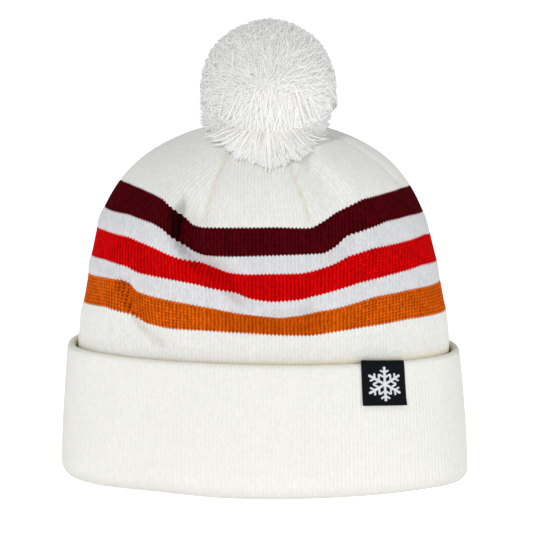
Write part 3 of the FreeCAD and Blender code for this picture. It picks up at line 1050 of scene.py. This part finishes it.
def care_label():
    """A blank satin tag that hangs inside at the wearer's right, sewn by its top to the lining."""
    low, high = (np.array(corner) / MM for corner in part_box("care_label"))
    thickness = 0.4
    drop = np.linspace(0, 1, 60)[:, None]
    across = np.linspace(-1, 1, 40)[None, :]
    middle = (low + high) / 2
    curl = 1.6 * drop**2 * np.cos(across * 1.3) + 0.5 * np.sin(drop * 5) * across
    y = middle[1] + (high[1] - low[1]) / 2 * across * (1 - 0.02 * drop)
    z = high[2] - (high[2] - low[2]) * drop - 0.6 * drop * across**2
    back, front = (
        np.stack(np.broadcast_arrays(low[0] + 0.15 + curl + out, y, z), -1) for out in (0.0, thickness))
    piece = ribbon("label_care", front, back, 2, CARE_SATIN)
    finish_piece(piece, "hat_body", "care_label", "care_label")
    share = np.linspace(0, 1, 6)
    y = middle[1] - 12.4 + 2.9 * np.arange(9)[:, None] + 1.9 * share
    x = low[0] + 0.62 + 0.15 * arch(share)
    paths = np.stack(np.broadcast_arrays(x, y, high[2] - 4.0), -1)
    stitches = tubes("label_care_stitches", paths, 0.22, CARE_THREAD, 6, np.linspace(0, 1, 9))
    finish_piece(stitches, "hat_body", "care_thread", "care_label_stitches")


# ---- Tying yarns ----


def circle(radius, height, count=97, turns=1.0, rise=0.0):
    """A ring, or a coil that rises by this much per turn."""
    turn = np.linspace(0, 2 * math.pi * turns, count)
    return ring_point(turn, radius, radius, height + rise * turn / (2 * math.pi))


def plied_yarn(name, path, yarn, turns, body, slot, *nodes):
    """A yarn of three plies, wound round its path."""
    side, up = beside(path, YARN_GUIDE)
    first = np.arange(3)[:, None, None] / 3
    turn = 2 * math.pi * (turns * np.linspace(0, 1, len(path))[:, None] + first)
    plies = path + yarn * 0.5 * (np.cos(turn) * side + np.sin(turn) * up)
    piece = tubes(name, plies, yarn * 0.56, TIE_WHITE, 8, [0.2, 0.5, 0.8])
    finish_piece(piece, body, slot, *nodes)


def tying_yarns():
    """Both closing yarns, the tie loop, the binding with its tails, and the anchor yarn with its knot."""
    for layer in ("crown", "lining"):
        low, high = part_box(layer + "_closing_yarn")
        ring = circle(CLOSING_RING, (low[2] + high[2]) / 2 / MM)
        plied_yarn(layer + "_gathering_yarn", ring, CLOSING_YARN * 0.95, 12, "hat_body", "closing_yarn",
                   layer + "_closing_yarn")
    plied_yarn("tie_loop", circle(TIE_RING, POM_PIVOT), 0.66, 12, "pom_tie", "tie_yarn", "pom_tie_loop")
    wraps = circle(BINDING_RADIUS - 0.8, POM_CENTRE - 6.2, count=400, turns=9, rise=1.4)
    plied_yarn("pom_binding", wraps, 0.7, 60, "pom", "tie_yarn", "pom_binding_yarn")
    for side, word in ((-1, "right"), (1, "left")):
        tail = np.linspace((side * 3.2, 0, POM_CENTRE - 6.5), (side * TIE_RING, 0, POM_PIVOT + 3.6), 40)
        plied_yarn("pom_binding_tail_" + word, tail, 0.6, 5, "pom", "tie_yarn")
    knot_low, knot_high = (corner[2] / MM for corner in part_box("anchor_knot"))
    strand = np.linspace((0, 0, POM_PIVOT + 0.6), (0, 0, knot_high - 1.0), 60)
    plied_yarn("anchor_strand", strand, 0.85, 6, "hat_body", "tie_yarn", "anchor_yarn")
    coil = circle(0.75, POM_PIVOT - 1.0, count=160, turns=3, rise=0.7)
    plied_yarn("anchor_head", coil, 0.75, 22, "hat_body", "tie_yarn")
    # The knot inside is a trefoil.
    turn = np.linspace(0, 2 * math.pi, 240)
    x, y = np.sin(turn) + 2 * np.sin(2 * turn), np.cos(turn) - 2 * np.cos(2 * turn)
    knot = np.stack([x, y, -1.4 * np.sin(3 * turn)], -1) * 0.85 + np.array([0, 0, (knot_low + knot_high) / 2])
    plied_yarn("anchor_knot_yarn", knot, 1.15, 24, "hat_body", "tie_yarn", "anchor_knot")


# ---- Pom-pom ----

POM_SHIFT = 2.6
POM_TRIM = 39.0
POM_SIDE = 38.8
POM_CORE = 31.0
STRAND = 0.46
STRAND_TAPER = np.array([0.7, 1, 1, 1, 1, 1, 0.85])
STRAND_SHARE = np.linspace(0, 1, STRAND_TAPER.size)[None, :]


def even_directions(count):
    """Directions spread evenly over a sphere."""
    index = np.arange(count) + 0.5
    up = 1 - 2 * index / count
    turn = index * math.pi * (1 + 5**0.5)
    flat = np.sqrt(1 - up**2)
    return np.stack([flat * np.cos(turn), flat * np.sin(turn), up], -1)


def crown_height(x, y):
    """The height of the crown's smooth face under a point."""
    width, depth = (np.maximum(table[1:], 1e-6) for table in (WIDTH_AT, DEPTH_AT))
    reach = (x[..., None] / width) ** 2 + (y[..., None] / depth) ** 2
    return HEIGHT_AT[1:][np.minimum((reach < 1).sum(-1), width.size - 1)]


CROWN_GRID = np.arange(-60.0, 60.5, 1.0)
CROWN_TABLE = crown_height(*np.meshgrid(CROWN_GRID, CROWN_GRID, indexing="ij"))


def crown_under(x, y):
    """crown_height, read from a table of one millimetre squares."""
    across, along = (np.clip(value - CROWN_GRID[0], 0, CROWN_GRID.size - 1.001) for value in (x, y))
    i, j = across.astype(int), along.astype(int)
    u, v = across - i, along - j
    low = CROWN_TABLE[i, j] * (1 - u) + CROWN_TABLE[i + 1, j] * u
    high = CROWN_TABLE[i, j + 1] * (1 - u) + CROWN_TABLE[i + 1, j + 1] * u
    return low * (1 - v) + high * v


def ball_floor(x, y):
    """The lowest that the ball's strands hang, so that they clear the crown when it tilts."""
    reach, tilt_slope, over_tie = np.hypot(x, y), 0.34, 10
    clear = crown_under(x, y) + tilt_slope * reach + 1.0
    return np.maximum(clear, np.where(reach < over_tie, POM_SEAT + 0.9, 0))


def trimmed_radius(direction):
    """How far the trimmed ball reaches in a direction: round above and straight-sided below."""
    flat = np.hypot(direction[:, 0], direction[:, 1])
    drop = -direction[:, 2]
    straight = np.minimum(POM_SIDE / np.maximum(flat, 1e-6), 46)
    return np.where(drop > 0, np.minimum(straight, POM_TRIM + 30 * drop**2), POM_TRIM)


def pom_strands():
    """The cut yarn ends of the ball, which leave it near its front and back poles and fan out from there."""
    random = np.random.default_rng(11)
    tufts, per_tuft = 1500, 3
    count = tufts * per_tuft
    tip = unit(np.repeat(even_directions(tufts), per_tuft, axis=0) + random.normal(0, 0.035, (count, 3)))
    pole = unit(np.sign(tip) * (0, 1, 0) + random.normal(0, 0.2, (count, 3)))
    from_pole = np.arccos(np.clip((tip * pole).sum(-1), -1, 1))
    pull = np.radians(62) * np.sin(np.clip(2 * from_pole, 0, math.pi)) ** 0.7
    towards = unit(pole - tip * (tip * pole).sum(-1, keepdims=True))
    # Halfway between the poles the strands cross one another.
    crossing = smooth_fall(from_pole - math.pi / 2, 0.5)
    pull = pull + crossing * random.normal(0, 0.6, count)
    sideways = np.cross(tip, towards)
    root = tip * np.cos(pull)[:, None] + towards * np.sin(pull)[:, None]
    root += random.normal(0, 0.05, (count, 1)) * towards
    root += (0.06 + 0.45 * crossing[:, None]) * random.normal(0, 1, (count, 1)) * sideways
    root = unit(root)
    reach = trimmed_radius(tip)
    lumps = np.sin(tip @ np.array([5.0, 2.0, 3.0]) + 1) * np.sin(tip @ np.array([-2.0, 6.0, 4.0]))
    reach = reach * (1 + 0.008 * lumps + random.uniform(-0.02, 0.0, count))
    stray = random.random(count) < 0.02
    reach = reach + np.where(stray & (tip[:, 2] > -0.2), random.uniform(0.3, 1.3, count), 0)
    start = np.minimum(random.uniform(28.0, 32.5, count), reach * 0.85)
    share = STRAND_SHARE
    turned = (share**0.9)[..., None]
    direction = unit(root[:, None, :] * (1 - turned) + tip[:, None, :] * turned)
    radius = start[:, None] + (reach - start)[:, None] * share**0.8
    wave = random.normal(0, 0.5, (count, 1, 3)) * arch(share)[..., None]
    paths = direction * radius[..., None] + wave
    lower = clamp(-2 * tip[:, 2:])
    paths[..., 0] += (POM_SHIFT + 0.9 * lower) * clamp(radius / POM_TRIM)
    paths[..., 2] += POM_CENTRE
    paths[..., 2] = np.maximum(paths[..., 2], ball_floor(paths[..., 0], paths[..., 1]))
    thickness = random.uniform(0.85, 1.15, (count, 1)) * STRAND * STRAND_TAPER
    piece = tubes("pom_strands", paths, thickness, POM_WHITE, 3, random.random(count))
    finish_piece(piece, "pom", "pom_yarn", "pom_yarn_ball")


def pom_core():
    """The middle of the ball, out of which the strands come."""
    work = bmesh.new()
    bmesh.ops.create_icosphere(work, subdivisions=5, radius=1.0)
    work.verts.index_update()
    points = np.array([vertex.co for vertex in work.verts])
    triangles = np.array([[vertex.index for vertex in face.verts] for face in work.faces])
    work.free()
    x, y, z = points.T
    lump = 1.2 * np.sin(9 * x + 2) * np.sin(8 * y) + 0.9 * np.sin(15 * z + 4 * x) * np.sin(14 * y + 1)
    points *= np.minimum(POM_CORE, POM_CORE + lump)[:, None]
    low = POM_SEAT + POM_SEAT_SLOPE * np.hypot(points[:, 0], points[:, 1]) + 0.8
    points[:, 0] += POM_SHIFT * 0.7
    points[:, 2] = np.maximum(points[:, 2] + POM_CENTRE, low)
    finish_piece(make_mesh("pom_core", points, [triangles], None, CORE_CREAM), "pom", "pom_yarn")


def fan_edge(turn):
    """The fan's edge isn't trimmed: locks of it reach further than others."""
    return 0.5 * np.sin(5 * turn + 1.0) + 0.8 * np.sin(13 * turn + 0.4) + 0.7 * np.sin(29 * turn)


def draped_strands(random, count):
    """Long strands that leave the ball's front and back and hang down over the crown in a fan."""
    share = STRAND_SHARE
    side = np.where(random.random(count) < 0.6, -1.0, 1.0)[:, None]
    lean = random.normal(0, 0.42, count)[:, None]
    top = random.uniform(203, 216.5, count)[:, None]
    start = random.uniform(30.5, 36.5, count)[:, None]
    reach = 41.0 + 2.5 * np.cos(2 * (lean - math.radians(20))) - np.abs(random.normal(0, 3.4, (count, 1)))
    reach = reach + fan_edge(lean)
    turn = lean * (0.3 + 0.7 * share) + random.normal(0, 0.05, (count, 1)) * arch(share)
    out = start + (reach - start) * share**0.6
    x = out * np.sin(turn) + 1.5 * (1 - share)
    y = side * out * np.cos(turn)
    low = crown_under(x, y) + random.uniform(0.6, 2.2, (count, 1))
    z = np.maximum(low + (top - low) * (1 - share) ** 1.15, low)
    return np.stack([x, y, z], -1)


def pom_skirt():
    """Loose lower strands that fan out from the tie and lie over the crown, up to the ball's underside."""
    random = np.random.default_rng(23)
    count = 2200
    # Half of them leave all round the tie, and half at its front.
    turn = np.concatenate([random.uniform(-math.pi, math.pi, count // 2), random.normal(0, 0.95, count // 2)])
    level = random.random(count) ** 1.1
    reach = 37.5 + 3.0 * np.cos(2 * (turn - math.radians(28)))
    reach = reach - level * (reach - 38.2) - np.abs(random.normal(0, 2.0, count)) + fan_edge(turn)
    share = STRAND_SHARE
    angle = turn[:, None] + random.normal(0, 0.06, (count, 1)) * share
    angle = angle + random.normal(0, 0.05, (count, 1)) * arch(share)
    out = 5.5 + (reach[:, None] - 5.5) * share
    x, y = out * np.sin(angle), -out * np.cos(angle)
    x = x + POM_SHIFT * 0.6 * share * level[:, None]
    low = crown_under(x, y) + 0.7
    room = ball_floor(x, y) + 1.2 - low
    z = low + room * level[:, None] * clamp(share * 1.5 + 0.3)
    paths = np.concatenate([np.stack([x, y, z], -1), draped_strands(random, 1100)])
    thickness = random.uniform(0.85, 1.15, (len(paths), 1)) * STRAND * STRAND_TAPER
    piece = tubes("pom_skirt", paths, thickness, POM_WHITE, 3, random.random(len(paths)), (0.05, 0.1, 0.99))
    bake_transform(piece)


# ---- Stage, light and camera ----


def stage():
    """A bright white floor that runs out past the horizon."""
    material, _, shader = new_material("floor_white")
    set_inputs(shader, {
        "Base Color": (0.9, 0.9, 0.9, 1.0),
        "Emission Color": (1.0, 1.0, 1.0, 1.0),
        "Emission Strength": 0.72,
        "Roughness": 0.95,
        "Specular IOR Level": 0.0,
    })
    half, under = 20000.0, -0.2
    corners = [(-half, -half, under), (half, -half, under), (half, half, under), (-half, half, under)]
    make_mesh("floor", corners, [np.array([[0, 1, 2, 3]])], None, material)


def look(item, place, aim):
    """Puts a light or a camera at a place and turns it to its aim."""
    item.location = place
    item.rotation_euler = (aim - place).to_track_quat("-Z", "Y").to_euler()


def area_light(name, place, aim, size, power):
    """A round soft light at a place, turned to its aim."""
    light = bpy.data.lights.new(name, "AREA")
    light.shape = "DISK"
    light.size = size
    light.energy = power
    look(new_object(name, light), Vector(place), Vector(aim))


def lights():
    world = bpy.data.worlds.new("studio")
    world.use_nodes = True
    tree = world.node_tree
    background = tree.nodes["Background"]
    plug(background.inputs[0], (1.0, 1.0, 1.0, 1.0))
    # White round the horizon, like the floor, and dimmer overhead, so that the key light models the folds.
    up = add(tree, "TexCoord", output="Generated").split()[2]
    plug(background.inputs[1], up.spread(0.1, 0.35, 1.02, 0.38))
    bpy.context.scene.world = world
    hat_middle = 0, 0, HAT_MIDDLE * MM
    area_light("key", (-0.8, -1.0, 1.95), hat_middle, size=0.35, power=14.3)
    area_light("fill", (1.4, -0.7, 0.5), hat_middle, size=0.6, power=4.0)


def camera():
    """A long lens from the front, a little above the hat's middle."""
    lens, elevation, distance = 200.0, math.radians(10.0), 1.70
    data = bpy.data.cameras.new("camera")
    data.lens = lens
    data.sensor_width = 36.0
    data.clip_end = 100
    view = new_object("camera", data)
    aim = Vector((0.0016, 0, 0.1232))
    look(view, aim + Vector((0, -math.cos(elevation), math.sin(elevation))) * distance, aim)
    bpy.context.scene.camera = view
    bpy.context.scene.view_settings.view_transform = "Standard"


bands()
crown()
lining()
seams()
cuff()
label_motif()
label_stitches()
tying_yarns()
pom_core()
pom_strands()
pom_skirt()
front_label()
care_label()
stage()
lights()
camera()
